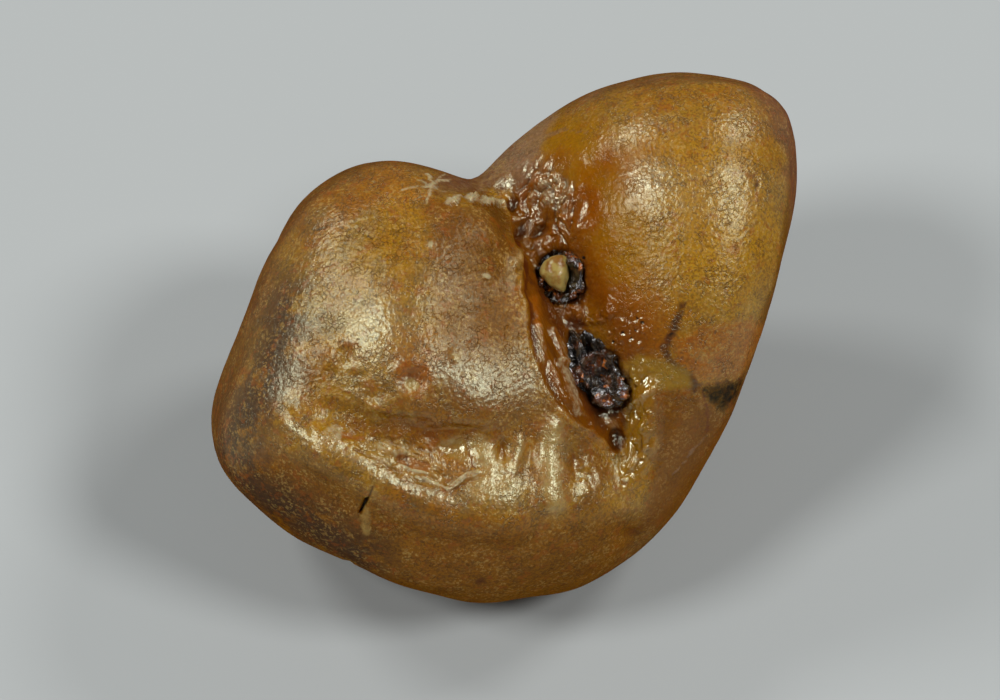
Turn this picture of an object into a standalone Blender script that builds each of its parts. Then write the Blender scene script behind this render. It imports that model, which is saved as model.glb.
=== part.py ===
# Raw carnelian: a water-worn pebble of two lobes with a cleft between them.
# Run it with: blender --background --python part.py
#
# Blender units are metres, +Z is up, and the stone rests on z = 0. Its sizes below are in millimetres.
# It is shaped in its own face frame: x to the right, y up the face that carries the cleft, z straight
# out of that face. Then it is leaned back to the way it rests and set down on its worn foot.

import math

import bmesh
import bpy
import numpy as np
from mathutils import Vector
from mathutils.bvhtree import BVHTree

MM = 0.001

# How the stone rests
facePitch = 56.0            # degrees from level up to the face's own z axis
footDepth = 1.1             # worn flat off the lowest point

# How fine the solids are
sphereSteps = 7             # icosphere that the stone starts from, 81,920 triangles
stoneShare = 0.098          # share of them that the stone keeps
crustSteps = 4
crustShare = 0.45
grainSteps = 3
gap = 0.35                  # clear space between touching pieces

# A lobe is a block with worn faces. Each face is (turn, lean, reach): degrees round the face frame
# from +x, degrees out towards +z, and the distance from the lobe's centre. The higher the edge
# number, the crisper the edges between its faces.
leftLobe = {
    "centre": (-7.0, -3.0, -2.0),
    "edge": 8.0,
    "sides": [
        (156, 5, 14.2), (116, 5, 19.9), (88, 5, 19.8), (56, 0, 16.0), (22, 5, 14.2),
        (325, 0, 20.2), (300, 0, 21.0), (276, 2, 18.9), (244, 2, 14.5), (222, 0, 19.2), (195, 3, 17.1),
    ],
    "front": [
        (100, 58, 17.2), (156, 50, 16.9), (0, 90, 17.0), (20, 60, 15.8),
        (265, 66, 18.8), (240, 48, 17.8), (285, 40, 20.0),
    ],
    "back": [
        (158, -40, 15.6), (100, -45, 16.6), (350, -30, 17.6), (20, -50, 17.6),
        (262, -26, 17.0), (235, -40, 14.8), (270, -56, 13.4), (0, -90, 16.6), (200, -60, 14.6),
    ],
}
rightLobe = {
    "centre": (12.0, 5.0, -2.0),
    "edge": 8.0,
    "sides": [
        (92, 5, 16.5), (52, 5, 21.0), (20, 5, 15.3), (346, 5, 9.3), (335, 3, 10.3),
        (315, 0, 15.4), (298, 0, 17.4), (133, 5, 16.1), (116, 0, 20.6), (200, 0, 14.0),
    ],
    "front": [
        (86, 56, 18.4), (10, 60, 14.8), (188, 62, 11.7), (90, 84, 15.3),
        (278, 68, 14.8), (300, 50, 14.8), (145, 50, 14.2),
    ],
    "back": [
        (90, -50, 15.0), (0, -45, 11.6), (0, -90, 16.2), (270, -56, 17.4), (170, -40, 13.4),
    ],
}
centre = (1.0, -1.0, -2.0)  # inside both lobes, the surface is found outwards from here
cleftBlend = 0.7            # how softly the lobes meet in the cleft
footBlend = 2.4             # and below it, where they run into one
footBlendFrom = -6.5        # height on the face where the meeting starts to soften
footBlendOver = 6.0

# Grooves and ridges on the face: points (x, y, depth) and the half width. A ridge has a negative depth.
cleftFloor = {
    "halfWidth": 3.0,
    "points": [
        (-0.4, 12.6, 0.0), (1.5, 11.0, 1.0), (2.8, 8.3, 1.4), (4.2, 6.0, 1.4),
        (5.6, 2.2, 1.2), (7.4, -1.9, 1.0), (8.8, -6.2, 0.8), (10.2, -10.0, 0.0),
    ],
}
cleftLip = {
    "halfWidth": 1.6,
    "points": [
        (0.4, 11.4, 0.0), (1.3, 8.5, -0.4), (2.0, 6.0, -0.7), (2.0, 3.7, -0.6), (2.1, 0.7, -0.4),
        (3.2, -1.9, -0.5), (4.8, -4.0, -0.5), (6.7, -6.0, -0.4), (8.3, -7.8, 0.0),
    ],
}
goldRidge = {
    "halfWidth": 1.3,
    "points": [(10.6, -2.0, 0.0), (11.2, -3.6, -0.7), (11.0, -6.0, -0.8), (10.2, -9.2, 0.0)],
}
valley = {
    "halfWidth": 4.2,
    "points": [
        (-17.5, -1.6, 0.0), (-12.5, -4.4, 0.8), (-7.6, -6.2, 1.2), (-2.5, -6.8, 1.2), (2.5, -7.2, 0.7),
        (7.5, -9.2, 0.0),
    ],
}
grooves = [cleftFloor, cleftLip, goldRidge, valley]

# Hollows on the face: (x, y, half length, half width, turn, depth)
upperPocket = (4.5, 5.6, 2.5, 2.1, 100, 2.4)
lowerPocket = (7.0, -1.4, 3.9, 2.2, 120, 2.0)
hollows = [
    upperPocket,
    lowerPocket,
    (-6.3, -2.2, 1.3, 1.2, 0, 0.45),
    (-11.4, -0.4, 1.3, 0.9, 60, 0.35),
    (-12.5, -1.5, 1.0, 0.8, 30, 0.25),
    (-3.6, -7.4, 1.6, 0.9, 10, 0.4),
    (2.2, -7.6, 1.5, 1.0, 80, 0.4),
    (6.2, -9.6, 1.3, 1.1, 0, 0.5),
    (9.8, -14.0, 2.4, 1.6, 120, 0.9),
    (16.4, -2.6, 1.3, 0.8, 0, 0.3),
    (8.8, -6.8, 0.9, 0.7, 90, 0.5),
]

# Black crust in the two pockets, and the pale grain that is stuck in the upper one
upperCrust = {"pocket": upperPocket, "spread": 0.80, "thickness": 0.7, "lumpHeight": 0.15, "lumpPace": 5.0}
lowerCrust = {"pocket": lowerPocket, "spread": 0.84, "thickness": 1.1, "lumpHeight": 0.30, "lumpPace": 3.6}
grain = {"x": 4.2, "y": 5.7, "halfSizes": (1.05, 1.45, 0.85), "bend": 0.15, "turn": 12.0}

# Shallow worn hollows on the sides that the face doesn't show: (turn, lean, half width in degrees, depth)
backHollows = [
    (300, -70, 26, 0.9), (120, -50, 22, 0.7), (200, -25, 20, 0.6), (20, -30, 18, 0.6), (70, -20, 16, 0.5),
]
waves = [                   # slow unevenness all over: direction, wavelength, height
    ((0.8, 0.5, 0.3), 15.0, 0.16), ((-0.3, 0.9, 0.4), 11.0, 0.13), ((0.4, -0.5, 0.8), 8.5, 0.10),
    ((0.9, -0.2, -0.4), 6.7, 0.07), ((0.1, 0.7, -0.7), 5.6, 0.06),
]


def unit(turn, lean):
    """Direction for a turn in the face plane and a lean out of it, in degrees."""
    t, l = math.radians(turn), math.radians(lean)
    return np.array([math.cos(l) * math.cos(t), math.cos(l) * math.sin(t), math.sin(l)])


def smooth(x):
    """0 below 0, 1 above 1, an S between."""
    x = np.clip(x, 0.0, 1.0)
    return x * x * (3.0 - 2.0 * x)


def fall(x):
    """1 at the middle, sinking smoothly to 0 at a distance of 1."""
    x = np.clip(x, 0.0, 1.0)
    return (1.0 - x * x) ** 2


# ------------------------------------------------------------------ the stone's form

def lobe_depth(points, lobe):
    """Rough distance of points from a lobe's surface, negative inside."""
    faces = lobe["sides"] + lobe["front"] + lobe["back"]
    offset = points - np.array(lobe["centre"])
    total = 0.0
    for turn, lean, reach in faces:
        share = np.clip(offset @ unit(turn, lean) / reach, 0.0, None)
        total = total + share ** lobe["edge"]
    reach = np.mean([face[2] for face in faces])
    return (total ** (1.0 / lobe["edge"]) - 1.0) * reach


def body_depth(points):
    """The two lobes run together, sharply in the cleft and softly below it."""
    left = lobe_depth(points, leftLobe)
    right = lobe_depth(points, rightLobe)
    low = smooth((footBlendFrom - points[:, 1]) / footBlendOver)
    blend = cleftBlend + (footBlend - cleftBlend) * low
    return -blend * np.logaddexp(-left / blend, -right / blend)


def outline_points(directions):
    """Walks out from the centre to the surface in each direction."""
    near = np.full(len(directions), 4.0)
    far = np.full(len(directions), 45.0)
    for _ in range(24):
        middle = (near + far) / 2.0
        inside = body_depth(np.array(centre) + directions * middle[:, None]) < 0.0
        near = np.where(inside, middle, near)
        far = np.where(inside, far, middle)
    return np.array(centre) + directions * near[:, None]


def wear(points, directions):
    """Slow unevenness, and shallow hollows on the sides away from the face."""
    change = np.zeros(len(points))
    for direction, length, height in waves:
        along = points @ (np.array(direction) / np.linalg.norm(direction))
        change += height * np.sin(2.0 * math.pi * along / length)
    for turn, lean, width, depth in backHollows:
        angle = np.degrees(np.arccos(np.clip(directions @ unit(turn, lean), -1.0, 1.0)))
        change -= depth * fall(angle / width)
    return points + directions * change[:, None]


def curve_through(points, steps=10):
    """A smooth curve (Catmull-Rom) through a groove's points."""
    p = np.array(points, float)
    p = np.vstack([2 * p[0] - p[1], p, 2 * p[-1] - p[-2]])
    run = []
    for a, b, c, d in zip(p, p[1:], p[2:], p[3:]):
        for t in np.arange(steps) / steps:
            run.append(0.5 * (2 * b + (c - a) * t + (2 * a - 5 * b + 4 * c - d) * t ** 2
                              + (3 * b - a - 3 * c + d) * t ** 3))
    run.append(p[-2])
    return np.array(run)


def groove_depth(points, groove):
    """Depth of a groove at each point, by the distance to its curve."""
    curve = curve_through(groove["points"])
    nearest = np.full(len(points), 1e9)
    depth = np.zeros(len(points))
    for a, b in zip(curve, curve[1:]):
        step = b[:2] - a[:2]
        t = np.clip((points[:, :2] - a[:2]) @ step / (step @ step), 0.0, 1.0)
        distance = np.linalg.norm(points[:, :2] - a[:2] - t[:, None] * step, axis=1)
        closer = distance < nearest
        nearest = np.where(closer, distance, nearest)
        depth = np.where(closer, a[2] + t * (b[2] - a[2]), depth)
    return depth * fall(nearest / groove["halfWidth"])


def hollow_depth(points, hollow):
    """Depth of an oval hollow at each point."""
    x, y, length, width, turn, depth = hollow
    c, s = math.cos(math.radians(turn)), math.sin(math.radians(turn))
    u = (points[:, 0] - x) * c + (points[:, 1] - y) * s
    v = (points[:, 1] - y) * c - (points[:, 0] - x) * s
    return depth * fall(np.hypot(u / length, v / width))


def carve(points):
    """Sinks the grooves and hollows into the front of the stone, along the face's z."""
    depth = np.zeros(len(points))
    for groove in grooves:
        depth += groove_depth(points, groove)
    for hollow in hollows:
        depth += hollow_depth(points, hollow)
    front = smooth((points[:, 2] + 5.0) / 6.0)
    carved = points.copy()
    carved[:, 2] -= front * depth
    return carved


# ------------------------------------------------------------------ Blender helpers

def clear_scene():
    for obj in list(bpy.data.objects):
        bpy.data.objects.remove(obj, do_unlink=True)


def new_collection(name):
    collection = bpy.data.collections.new(name)
    bpy.context.scene.collection.children.link(collection)
    return collection


def move_to(obj, collection):
    for old in list(obj.users_collection):
        old.objects.unlink(obj)
    collection.objects.link(obj)


def add_icosphere(name, steps, collection):
    bpy.ops.mesh.primitive_ico_sphere_add(subdivisions=steps, radius=1.0)
    obj = bpy.context.object
    obj.name = name
    obj.data.name = name
    move_to(obj, collection)
    return obj


def get_points(obj):
    points = np.empty(len(obj.data.vertices) * 3)
    obj.data.vertices.foreach_get("co", points)
    return points.reshape(-1, 3)


def set_points(obj, points):
    obj.data.vertices.foreach_set("co", points.ravel())
    obj.data.update()


def give_material(obj, name, colour, roughness):
    material = bpy.data.materials.new(name)
    material.use_nodes = True
    shader = material.node_tree.nodes["Principled BSDF"]
    shader.inputs["Base Color"].default_value = (*colour, 1.0)
    shader.inputs["Roughness"].default_value = roughness
    shader.inputs["Metallic"].default_value = 0.0
    obj.data.materials.append(material)


def thin_out(obj, share):
    """Keeps a share of the triangles, most of them where the form bends."""
    thin = obj.modifiers.new("Thin out", "DECIMATE")
    thin.ratio = share
    bpy.context.view_layer.objects.active = obj
    bpy.ops.object.modifier_apply(modifier=thin.name)


def surface_tree(obj):
    """The object's surface, for finding heights on it."""
    depsgraph = bpy.context.evaluated_depsgraph_get()
    return BVHTree.FromObject(obj, depsgraph)


def height_on(trees, x, y):
    """The highest of the surfaces above x, y on the face, all in mm."""
    start = Vector((x * MM, y * MM, 50.0 * MM))
    hits = [tree.ray_cast(start, Vector((0.0, 0.0, -1.0)))[0] for tree in trees]
    return max(hit.z for hit in hits if hit) / MM


# ------------------------------------------------------------------ the pieces, in the face frame

def make_stone(parts):
    stone = add_icosphere("stone", sphereSteps, parts)
    directions = get_points(stone)
    directions /= np.linalg.norm(directions, axis=1)[:, None]
    points = wear(outline_points(directions), directions)
    set_points(stone, carve(points) * MM)
    thin_out(stone, stoneShare)
    give_material(stone, "carnelian", (0.30, 0.13, 0.035), 0.38)
    return stone


def make_crust(name, crust, floor, parts):
    """A lumpy skin of black crust that lies in a pocket, a gap above the stone."""
    x, y, length, width, turn, _ = crust["pocket"]
    c, s = math.cos(math.radians(turn)), math.sin(math.radians(turn))
    obj = add_icosphere(name, crustSteps, parts)
    points = get_points(obj)
    points /= np.linalg.norm(points, axis=1)[:, None]
    for i, (u, v, w) in enumerate(points):
        u *= crust["spread"] * length
        v *= crust["spread"] * width
        px, py = x + u * c - v * s, y + u * s + v * c
        rise = crust["thickness"] * (1.0 + w) / 2.0
        lump = math.sin(crust["lumpPace"] * px) * math.sin(crust["lumpPace"] * py + 1.0)
        rise += crust["lumpHeight"] * max(w, 0.0) * lump
        points[i] = (px, py, height_on([floor], px, py) + gap + max(rise, 0.0))
    set_points(obj, points * MM)
    thin_out(obj, crustShare)
    give_material(obj, name, (0.015, 0.012, 0.010), 0.12)
    return obj


def make_grain(trees, parts):
    """The bean-shaped grain, lowered until it lies a gap above what carries it."""
    obj = add_icosphere("lodged_grain", grainSteps, parts)
    points = get_points(obj)
    points /= np.linalg.norm(points, axis=1)[:, None]
    points *= np.array(grain["halfSizes"])
    points[:, 0] += grain["bend"] * (points[:, 1] / grain["halfSizes"][1]) ** 2
    t = math.radians(grain["turn"])
    turned = points.copy()
    turned[:, 0] = grain["x"] + points[:, 0] * math.cos(t) - points[:, 1] * math.sin(t)
    turned[:, 1] = grain["y"] + points[:, 0] * math.sin(t) + points[:, 1] * math.cos(t)
    turned[:, 2] += max(height_on(trees, px, py) + gap - pz for px, py, pz in turned)
    set_points(obj, turned * MM)
    give_material(obj, "pale_grain", (0.45, 0.32, 0.12), 0.35)
    return obj


# ------------------------------------------------------------------ setting the stone down

def set_down(pieces, parts, cutters):
    """Leans the pieces back, puts the lowest point under the table and cuts the worn foot flat."""
    lean = bpy.data.objects.new("set_down", None)
    parts.objects.link(lean)
    lean.rotation_euler = (math.radians(90.0 - facePitch), 0.0, 0.0)
    for piece in pieces:
        piece.parent = lean
    bpy.context.view_layer.update()
    stone = pieces[0]
    world = np.array([stone.matrix_world @ v.co for v in stone.data.vertices])
    low, high = world.min(axis=0), world.max(axis=0)
    lean.location = (-(low[0] + high[0]) / 2.0, -(low[1] + high[1]) / 2.0, -low[2] - footDepth * MM)

    bpy.ops.mesh.primitive_cube_add(size=1.0)
    table = bpy.context.object
    table.name = "foot_cutter"
    table.scale = (80.0 * MM, 80.0 * MM, 20.0 * MM)
    table.location = (0.0, 0.0, -10.0 * MM)
    table.display_type = "WIRE"
    table.hide_render = True
    move_to(table, cutters)
    cut = stone.modifiers.new("Worn foot", "BOOLEAN")
    cut.operation = "DIFFERENCE"
    cut.solver = "EXACT"
    cut.object = table


def build():
    clear_scene()
    parts = new_collection("raw_carnelian")
    cutters = new_collection("cutters")
    stone = make_stone(parts)
    floor = surface_tree(stone)
    upper = make_crust("upper_pocket_crust", upperCrust, floor, parts)
    lower = make_crust("lower_pocket_crust", lowerCrust, floor, parts)
    lodged = make_grain([floor, surface_tree(upper)], parts)
    set_down([stone, upper, lower, lodged], parts, cutters)


build()
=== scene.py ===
import math

import bmesh
import bpy
import numpy as np
from mathutils import Matrix, Vector, noise


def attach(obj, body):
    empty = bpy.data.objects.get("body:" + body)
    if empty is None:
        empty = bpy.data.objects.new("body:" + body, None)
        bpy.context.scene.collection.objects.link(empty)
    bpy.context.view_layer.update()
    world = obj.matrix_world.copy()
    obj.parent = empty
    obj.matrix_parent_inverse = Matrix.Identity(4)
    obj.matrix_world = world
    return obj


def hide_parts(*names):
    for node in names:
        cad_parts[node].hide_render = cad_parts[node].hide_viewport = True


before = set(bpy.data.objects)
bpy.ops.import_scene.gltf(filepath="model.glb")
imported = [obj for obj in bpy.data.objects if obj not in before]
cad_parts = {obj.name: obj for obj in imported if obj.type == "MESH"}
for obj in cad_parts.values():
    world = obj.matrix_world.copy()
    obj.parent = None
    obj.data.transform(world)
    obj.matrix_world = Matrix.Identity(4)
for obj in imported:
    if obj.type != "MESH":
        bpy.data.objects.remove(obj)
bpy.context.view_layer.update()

# Sizes are in millimetres. Most places are on the stone's own face frame: x to the right, y up the face
# that has the cleft, z straight out of it. The frame leans back by this angle, with its origin here.
mm = 0.001
rest = {"lean": 34.0, "origin": (-0.335, -1.112, 15.933)}

leanMatrix = np.array(Matrix.Rotation(math.radians(rest["lean"]), 3, "X"))
faceOrigin = np.array(rest["origin"])


class Wire:
    # One socket of a material. Sums on it add Math nodes, and node() adds any other kind.
    def __init__(self, tree, socket=None):
        self.tree = tree
        self.socket = socket

    def node(self, kind, settings=None, values=None, output=0):
        new = self.tree.nodes.new(kind)
        for name, value in (settings or {}).items():
            setattr(new, name, value)
        for name, value in (values or {}).items():
            if isinstance(value, Wire):
                self.tree.links.new(value.socket, new.inputs[name])
            else:
                new.inputs[name].default_value = value
        return Wire(self.tree, new.outputs[output])

    def math(self, operation, *others, clamp=False):
        values = dict(enumerate((self,) + others))
        return self.node("ShaderNodeMath", {"operation": operation, "use_clamp": clamp}, values)

    def __add__(self, other):
        return self.math("ADD", other)

    def __sub__(self, other):
        return self.math("SUBTRACT", other)

    def __rsub__(self, other):
        return self.math("MULTIPLY", -1.0) + other

    def __mul__(self, other):
        return self.math("MULTIPLY", other)

    __radd__ = __add__
    __rmul__ = __mul__

    def clamped(self):
        return self.math("ADD", 0.0, clamp=True)

    def eased(self, low, high):
        # 0 below low, 1 above high, smooth between
        settings = {"interpolation_type": "SMOOTHSTEP"}
        return self.node("ShaderNodeMapRange", settings, {"Value": self, "From Min": low, "From Max": high})

    def spread(self, low, high):
        # from 0..1 to low..high
        return self.node("ShaderNodeMapRange", {}, {"Value": self, "To Min": low, "To Max": high})

    def under(self, mask, colour):
        # this colour, covered by another where the mask is 1
        return self.node("ShaderNodeMix", {"data_type": "RGBA"}, {0: mask, 6: self, 7: colour}, output=2)

    def between(self, low, high):
        # one colour where this is 0, another where it is 1
        return self.node("ShaderNodeMix", {"data_type": "RGBA"}, {0: self, 6: low, 7: high}, output=2)

    def moved(self, other):
        return self.node("ShaderNodeVectorMath", {"operation": "ADD"}, {0: self, 1: other})

    def scaled(self, factor):
        return self.node("ShaderNodeVectorMath", {"operation": "SCALE"}, {0: self, "Scale": factor})

    def noise(self, size, detail=2.0, roughness=0.5, output=0):
        # soft random pattern of that size in millimetres, on a place in millimetres
        values = {"Vector": self, "Scale": 1.0 / size, "Detail": detail, "Roughness": roughness}
        return self.node("ShaderNodeTexNoise", {}, values, output)

    def cells(self, size, feature="F1"):
        values = {"Vector": self, "Scale": 1.0 / size}
        return self.node("ShaderNodeTexVoronoi", {"feature": feature}, values)

    def layer(self, name):
        return self.node("ShaderNodeAttribute", {"attribute_name": name}, output=2)

    def relief(self):
        # this height in millimetres as a change of the surface's normal
        return self.node("ShaderNodeBump", {}, {"Height": self, "Distance": mm})


def tone(red, green, blue):
    # a colour as a screen shows it, 0 to 255, in Blender's linear values
    values = [channel / 255 for channel in (red, green, blue)]
    return tuple(v / 12.92 if v <= 0.04045 else ((v + 0.055) / 1.055) ** 2.4 for v in values) + (1.0,)


def newMaterial(name):
    material = bpy.data.materials.new(name)
    material.use_nodes = True
    tree = material.node_tree
    tree.nodes.clear()
    place = Wire(tree).node("ShaderNodeTexCoord", output=3).scaled(1 / mm)
    return material, tree, place


def addShader(tree, constants, varying):
    shader = tree.nodes.new("ShaderNodeBsdfPrincipled")
    for name, value in constants.items():
        shader.inputs[name].default_value = value
    for name, wire in varying.items():
        tree.links.new(wire.socket, shader.inputs[name])
    return shader


def finishMaterial(tree, shader):
    end = tree.nodes.new("ShaderNodeOutputMaterial")
    tree.links.new(shader.outputs[0], end.inputs["Surface"])


def glazed(tree, body, gloss, share):
    # a body with an even gloss over it, which stays as weak at the edges as in the middle
    both = tree.nodes.new("ShaderNodeMixShader")
    tree.links.new(share.socket, both.inputs["Fac"])
    tree.links.new(body.outputs[0], both.inputs[1])
    tree.links.new(gloss.outputs[0], both.inputs[2])
    return both


def pickOnly(piece):
    if bpy.context.object and bpy.context.object.mode != "OBJECT":
        bpy.ops.object.mode_set(mode="OBJECT")
    bpy.ops.object.select_all(action="DESELECT")
    piece.select_set(True)
    bpy.context.view_layer.objects.active = piece


def copyNode(node, name):
    # a piece that starts from a CAD node's shape, its loose triangles joined
    piece = bpy.data.objects.new(name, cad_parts[node].data.copy())
    bpy.context.scene.collection.objects.link(piece)
    piece.data.materials.clear()
    pickOnly(piece)
    bpy.ops.object.mode_set(mode="EDIT")
    bpy.ops.mesh.select_all(action="SELECT")
    bpy.ops.mesh.remove_doubles(threshold=1e-6)
    bpy.ops.object.mode_set(mode="OBJECT")
    return piece


def applyModifier(piece, kind, settings):
    pickOnly(piece)
    modifier = piece.modifiers.new(kind.lower(), kind)
    for name, value in settings.items():
        setattr(modifier, name, value)
    bpy.ops.object.modifier_apply(modifier=modifier.name)


def evenCopy(node, name, spacing):
    # the same shape as one closed mesh, with points this many millimetres apart
    piece = copyNode(node, name)
    applyModifier(piece, "REMESH", {"mode": "VOXEL", "voxel_size": spacing * mm})
    return piece


def smooth(piece, rounds, **others):
    applyModifier(piece, "SMOOTH", {"factor": 0.5, "iterations": rounds, **others})


def shadeSmooth(piece):
    pickOnly(piece)
    bpy.ops.object.shade_smooth()


def dropCrumbs(piece):
    # keeps the largest body, without the crumbs that a remesh leaves at thin edges
    work = bmesh.new()
    work.from_mesh(piece.data)
    bodies, seen = [], set()
    for first in work.verts:
        if first in seen:
            continue
        body, waiting = [], [first]
        seen.add(first)
        while waiting:
            point = waiting.pop()
            body.append(point)
            for edge in point.link_edges:
                other = edge.other_vert(point)
                if other not in seen:
                    seen.add(other)
                    waiting.append(other)
        bodies.append(body)
    bodies.remove(max(bodies, key=len))
    bmesh.ops.delete(work, geom=sum(bodies, []), context="VERTS")
    work.to_mesh(piece.data)
    work.free()


def readPoints(piece):
    # every point of a piece in the face frame, and the way its surface faces there
    count = len(piece.data.vertices)
    points, normals = np.empty(count * 3), np.empty(count * 3)
    piece.data.vertices.foreach_get("co", points)
    piece.data.vertices.foreach_get("normal", normals)
    points = (points.reshape(-1, 3) / mm - faceOrigin) @ leanMatrix
    return points, normals.reshape(-1, 3) @ leanMatrix


def writePoints(piece, points):
    world = (points @ leanMatrix.T + faceOrigin) * mm
    world[:, 2] = np.maximum(world[:, 2], 0.0)      # nothing goes below the floor
    piece.data.vertices.foreach_set("co", world.ravel())
    piece.data.update()


def refine(piece, leastFacing, lines=None):
    # cuts into four the faces that look this much to the front, and lie near the lines if any are given
    faces = piece.data.polygons
    middles, facings = np.empty(len(faces) * 3), np.empty(len(faces) * 3)
    faces.foreach_get("center", middles)
    faces.foreach_get("normal", facings)
    middles = (middles.reshape(-1, 3) / mm - faceOrigin) @ leanMatrix
    chosen = (facings.reshape(-1, 3) @ leanMatrix)[:, 2] > leastFacing
    if lines:
        chosen &= np.any([pathDistance(middles[:, :2], path) < reach for path, reach in lines], axis=0)
    pickOnly(piece)
    bpy.context.tool_settings.mesh_select_mode = (False, False, True)
    bpy.ops.object.mode_set(mode="EDIT")
    bpy.ops.mesh.select_all(action="DESELECT")
    bpy.ops.object.mode_set(mode="OBJECT")
    faces.foreach_set("select", chosen)
    bpy.ops.object.mode_set(mode="EDIT")
    bpy.ops.mesh.subdivide(number_cuts=1)
    bpy.ops.object.mode_set(mode="OBJECT")


def cloud(points, size, seed=0):
    # soft random value, about -1 to 1, that changes over the given size
    places = points / size + seed * 17.3
    return np.array([noise.noise(place) for place in places.tolist()])


def folds(points, size, seed=0):
    # uneven lumps of two sizes, 0 in the sharp creases between them
    bent = points + 0.45 * size * cloud(points, size * 1.3, seed + 2)[:, None]
    return 0.7 * abs(cloud(bent, size, seed)) + 0.3 * abs(cloud(bent, size * 0.45, seed + 1))


def ease(x):
    x = np.clip(x, 0.0, 1.0)
    return x * x * (3.0 - 2.0 * x)


# Marks are ovals, streaks and patches on the stone's face. Whatever in one isn't a setting named here is
# a layer that it paints, and how strongly.
markSettings = ("turn", "soft", "depth", "rim", "folds", "drawn")


def newMark(place, values):
    settings = {name: values[name] for name in markSettings if name in values}
    paint = {name: amount for name, amount in values.items() if name not in markSettings}
    return {**place, **settings, "paint": paint}


def oval(x, y, halfWidth, halfHeight, **values):
    return newMark({"oval": (x, y), "size": (halfWidth, halfHeight)}, values)


def streak(path, width, **values):
    return newMark({"streak": path, "width": width}, values)


def patch(outline, **values):
    return newMark({"patch": outline}, values)


def ovalReach(flat, mark):
    # 0 in the middle of an oval, 1 at its edge
    turn = math.radians(mark.get("turn", 0.0))
    away = flat - mark["oval"]
    along = away @ (math.cos(turn), math.sin(turn))
    across = away @ (-math.sin(turn), math.cos(turn))
    return np.hypot(along / mark["size"][0], across / mark["size"][1])


def pathDistance(flat, path):
    # distance from a line through the points of a path
    nearest = np.full(len(flat), 1e9)
    for start, end in zip(np.array(path[:-1]), np.array(path[1:])):
        step = end - start
        share = np.clip((flat - start) @ step / (step @ step), 0.0, 1.0)
        nearest = np.minimum(nearest, np.linalg.norm(flat - start - share[:, None] * step, axis=1))
    return nearest


def isInside(flat, outline):
    inside = np.zeros(len(flat), bool)
    for (x0, y0), (x1, y1) in zip(outline, outline[1:] + outline[:1]):
        crosses = (flat[:, 1] < y0) != (flat[:, 1] < y1)
        slope = (x1 - x0) / (y1 - y0) if y1 != y0 else 0.0
        inside ^= crosses & (flat[:, 0] < x0 + slope * (flat[:, 1] - y0))
    return inside


def strength(flat, mark):
    # 1 where a mark is full, 0 outside it
    if "oval" in mark:
        return ease(1.5 * (1.0 - ovalReach(flat, mark)) / mark.get("soft", 1.0))
    if "streak" in mark:
        reach = pathDistance(flat, mark["streak"]) / mark["width"]
        return ease(1.5 * (1.0 - reach) / mark.get("soft", 1.0))
    outline = mark["patch"]
    gap = pathDistance(flat, outline + outline[:1])
    signed = np.where(isInside(flat, outline), gap, -gap)
    return ease(0.5 + signed / mark.get("soft", 0.5))


def drawnOut(points, mark):
    # the places that make a mark's lumps longer one way
    way, stretch = mark.get("drawn", (0.0, 1.0))
    along = points[:, :2] @ (math.cos(math.radians(way)), math.sin(math.radians(way)))
    across = points[:, :2] @ (-math.sin(math.radians(way)), math.cos(math.radians(way)))
    return np.stack([along / stretch, across, points[:, 2]], axis=1)


def markedFace(points, normals, marks):
    # the shift of every point that the marks ask for, and the layers that they paint
    wander = np.stack([cloud(points, 0.7, 3), cloud(points, 0.7, 5)], axis=1)
    flat = points[:, :2] + 0.13 * wander
    front = ease((normals[:, 2] + 0.05) / 0.25)
    height = np.zeros(len(points))
    layers = {}
    for mark in marks:
        full = strength(flat, mark) * front
        height -= full * mark.get("depth", 0.0)
        if "rim" in mark:
            height += front * mark["rim"] * np.exp(-((ovalReach(flat, mark) - 1.15) / 0.28) ** 2)
        if "folds" in mark:
            amount, size = mark["folds"]
            lumps = np.full(len(points), 0.3)
            lumps[full > 0.0] = folds(drawnOut(points[full > 0.0], mark), size, 7)
            height += full * amount * (lumps - 0.3)
            # painted shade in the deepest creases between the lumps
            crease = full * min(amount / 0.5, 1.0) * (1.0 - ease(lumps / 0.14))
            layers["crease"] = np.maximum(layers.get("crease", 0.0), crease)
        for name, amount in mark["paint"].items():
            layers[name] = np.maximum(layers.get(name, 0.0), full * amount)
    return height, layers


def writeLayers(piece, layers):
    for name, values in layers.items():
        attribute = piece.data.attributes.new(name, "FLOAT", "POINT")
        attribute.data.foreach_set("value", np.asarray(values, np.float32))


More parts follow.
